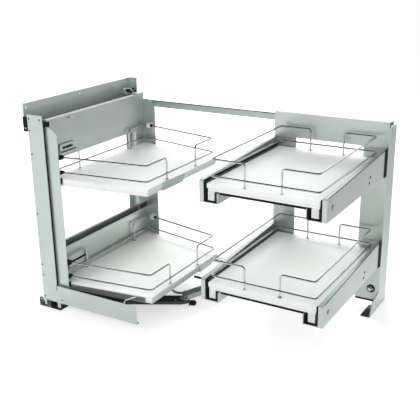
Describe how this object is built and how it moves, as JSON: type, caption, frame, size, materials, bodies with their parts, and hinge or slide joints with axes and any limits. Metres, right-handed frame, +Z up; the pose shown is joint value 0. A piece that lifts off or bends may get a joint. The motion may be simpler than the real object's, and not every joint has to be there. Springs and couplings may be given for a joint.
{
  "type": "blind corner pull out",
  "caption": "Kitchen corner cabinet fitting: tapered trays on a front carriage that slides out and draws a second tray carriage across, with wire galleries and coupling arms.",
  "frame": {"origin": "on the cabinet floor, at the inner face of the left wall and the front plane of the door frame", "axes": "+X to the right along the cabinet, +Y to the rear, +Z up"},
  "size_m": [0.864, 0.5595, 0.594],
  "materials": {
    "steel_sheet": "satin silver-grey coat",
    "dark_steel": "satin dark grey",
    "grey_steel": "satin mid grey",
    "plain_steel": "plain",
    "chrome_wire": "polished",
    "white_board": "white faced board",
    "black_plastic": "matt",
    "white_plastic": "matt"
  },
  "bodies": {
    "fixed_rails": {"guide_rail": "steel_sheet", "rail_end_caps": "black_plastic", "floor_rail": "dark_steel", "rear_bar": "steel_sheet", "rear_floor_rail": "steel_sheet", "upper_slide_outer": "dark_steel", "lower_slide_outer": "dark_steel", "arm_pivot": "plain_steel"},
    "front_mids": {"upper_slide_mid": "steel_sheet", "lower_slide_mid": "steel_sheet"},
    "front_carriage": {"door_frame": "steel_sheet", "front_post": "steel_sheet", "rear_upright": "steel_sheet", "upper_panel": "steel_sheet", "lower_panel": "steel_sheet", "upper_slide_inner": "dark_steel", "lower_slide_inner": "dark_steel", "catch_upper": "steel_sheet", "catch_lower": "steel_sheet", "frame_spacers": "black_plastic", "board_packers": "black_plastic", "left_board_upper": "white_board", "left_board_lower": "white_board", "left_gallery_upper": "chrome_wire", "left_gallery_lower": "chrome_wire", "left_strap_upper": "steel_sheet", "left_strap_lower": "steel_sheet", "tray_pan": "grey_steel", "gallery_clips": "white_plastic", "clip_screws": "black_plastic"},
    "rear_carriage": {"header_plate": "steel_sheet", "left_upright": "steel_sheet", "right_upright": "steel_sheet", "header_glides": "black_plastic", "foot_buffer": "plain_steel", "buffer_ring": "black_plastic", "upper_left_channel": "steel_sheet", "upper_right_channel": "steel_sheet", "lower_left_channel": "steel_sheet", "lower_right_channel": "steel_sheet", "tray_slide_bases": "steel_sheet", "channel_plugs": "black_plastic", "stop_pin": "black_plastic", "pivot_bracket": "steel_sheet"},
    "upper_tray_mids": {"tray_slide_mid_upper": "dark_steel"},
    "lower_tray_mids": {"tray_slide_mid_lower": "dark_steel"},
    "upper_rear_tray": {"right_board_upper": "white_board", "right_gallery_upper": "chrome_wire", "tray_slide_tops_upper": "steel_sheet", "slide_caps_upper": "white_plastic", "tray_trim_upper": "black_plastic"},
    "lower_rear_tray": {"right_board_lower": "white_board", "right_gallery_lower": "chrome_wire", "tray_slide_tops_lower": "steel_sheet", "slide_caps_lower": "white_plastic", "tray_trim_lower": "black_plastic"},
    "front_arm": {"front_arm": "dark_steel", "elbow_pin": "plain_steel"},
    "rear_arm": {"rear_arm": "grey_steel"},
    "roller": {"floor_roller": "black_plastic"}
  },
  "joints": [
    {"name": "front_slide", "type": "slide", "parent": "fixed_rails", "child": "front_carriage", "axis": [0, -1, 0], "range_m": [0, 0.45]},
    {"name": "front_mids_slide", "type": "slide", "parent": "fixed_rails", "child": "front_mids", "axis": [0, -1, 0], "range_m": [0, 0.225]},
    {"name": "rear_slide", "type": "slide", "parent": "fixed_rails", "child": "rear_carriage", "axis": [-1, 0, 0], "range_m": [0, 0.15]},
    {"name": "front_arm_turn", "type": "hinge", "parent": "fixed_rails", "child": "front_arm", "pos_m": [0.058, 0.026, 0.02], "axis": [0, 0, 1], "range_deg": [-4.33, 0]},
    {"name": "rear_arm_turn", "type": "hinge", "parent": "front_arm", "child": "rear_arm", "pos_m": [0.374, 0.198, 0.025], "axis": [0, 0, 1], "range_deg": [0, 39.75]},
    {"name": "upper_tray_slide", "type": "slide", "parent": "rear_carriage", "child": "upper_rear_tray", "axis": [0, -1, 0], "range_m": [0, 0.33]},
    {"name": "upper_tray_mids_slide", "type": "slide", "parent": "rear_carriage", "child": "upper_tray_mids", "axis": [0, -1, 0], "range_m": [0, 0.165]},
    {"name": "lower_tray_slide", "type": "slide", "parent": "rear_carriage", "child": "lower_rear_tray", "axis": [0, -1, 0], "range_m": [0, 0.33]},
    {"name": "lower_tray_mids_slide", "type": "slide", "parent": "rear_carriage", "child": "lower_tray_mids", "axis": [0, -1, 0], "range_m": [0, 0.165]},
    {"name": "roller_spin", "type": "hinge", "parent": "front_arm", "child": "roller", "pos_m": [0.39403, 0.2089, 0.0085], "axis": [0.8783, 0.4781, 0], "continuous": true}
  ],
  "couplings": [
    {"joint": "front_mids_slide", "follows": "front_slide", "ratio": 0.5},
    {"joint": "rear_slide", "follows": "front_slide", "ratio": 0.3333},
    {"joint": "front_arm_turn", "follows": "front_slide", "rad_per_m": -0.1676},
    {"joint": "rear_arm_turn", "follows": "front_slide", "rad_per_m": 1.5413},
    {"joint": "upper_tray_mids_slide", "follows": "upper_tray_slide", "ratio": 0.5},
    {"joint": "lower_tray_mids_slide", "follows": "lower_tray_slide", "ratio": 0.5}
  ]
}
